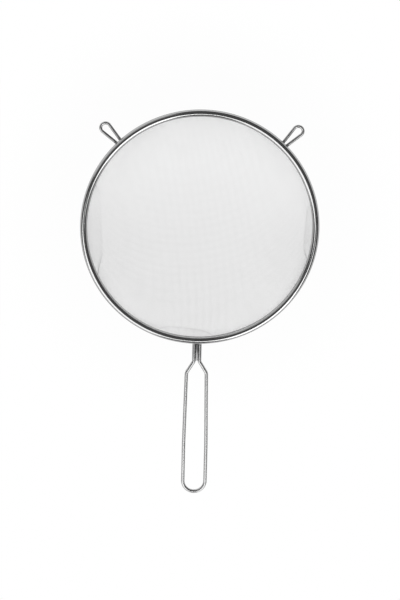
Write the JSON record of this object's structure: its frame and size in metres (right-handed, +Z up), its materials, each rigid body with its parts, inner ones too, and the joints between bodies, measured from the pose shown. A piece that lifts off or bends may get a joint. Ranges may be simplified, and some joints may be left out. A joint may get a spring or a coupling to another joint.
{
  "type": "mesh strainer",
  "caption": "Round kitchen strainer: a woven steel bowl hemmed into a rolled rim, with a bent wire loop handle and small wire ears that rest on a pot.",
  "frame": {"origin": "on the bowl's axis, level with the middle of the rim's bead", "axes": "+Z up out of the bowl's mouth, +Y away from the handle, towards the side with the ears"},
  "size_m": [0.1998, 0.3348, 0.0665],
  "materials": {
    "steel_cloth": "satin",
    "rim_steel": "polished",
    "wire_steel": "polished",
    "plate_steel": "satin",
    "weld_metal": "satin"
  },
  "bodies": {
    "root": {"mesh_bowl": "steel_cloth", "rim_band": "rim_steel", "rim_core_wire": "wire_steel", "handle_loop": "wire_steel", "neck_plate": "plate_steel", "handle_weld": "weld_metal", "ear_left": "wire_steel", "ear_left_weld": "weld_metal", "ear_right": "wire_steel", "ear_right_weld": "weld_metal"}
  },
  "joints": []
}
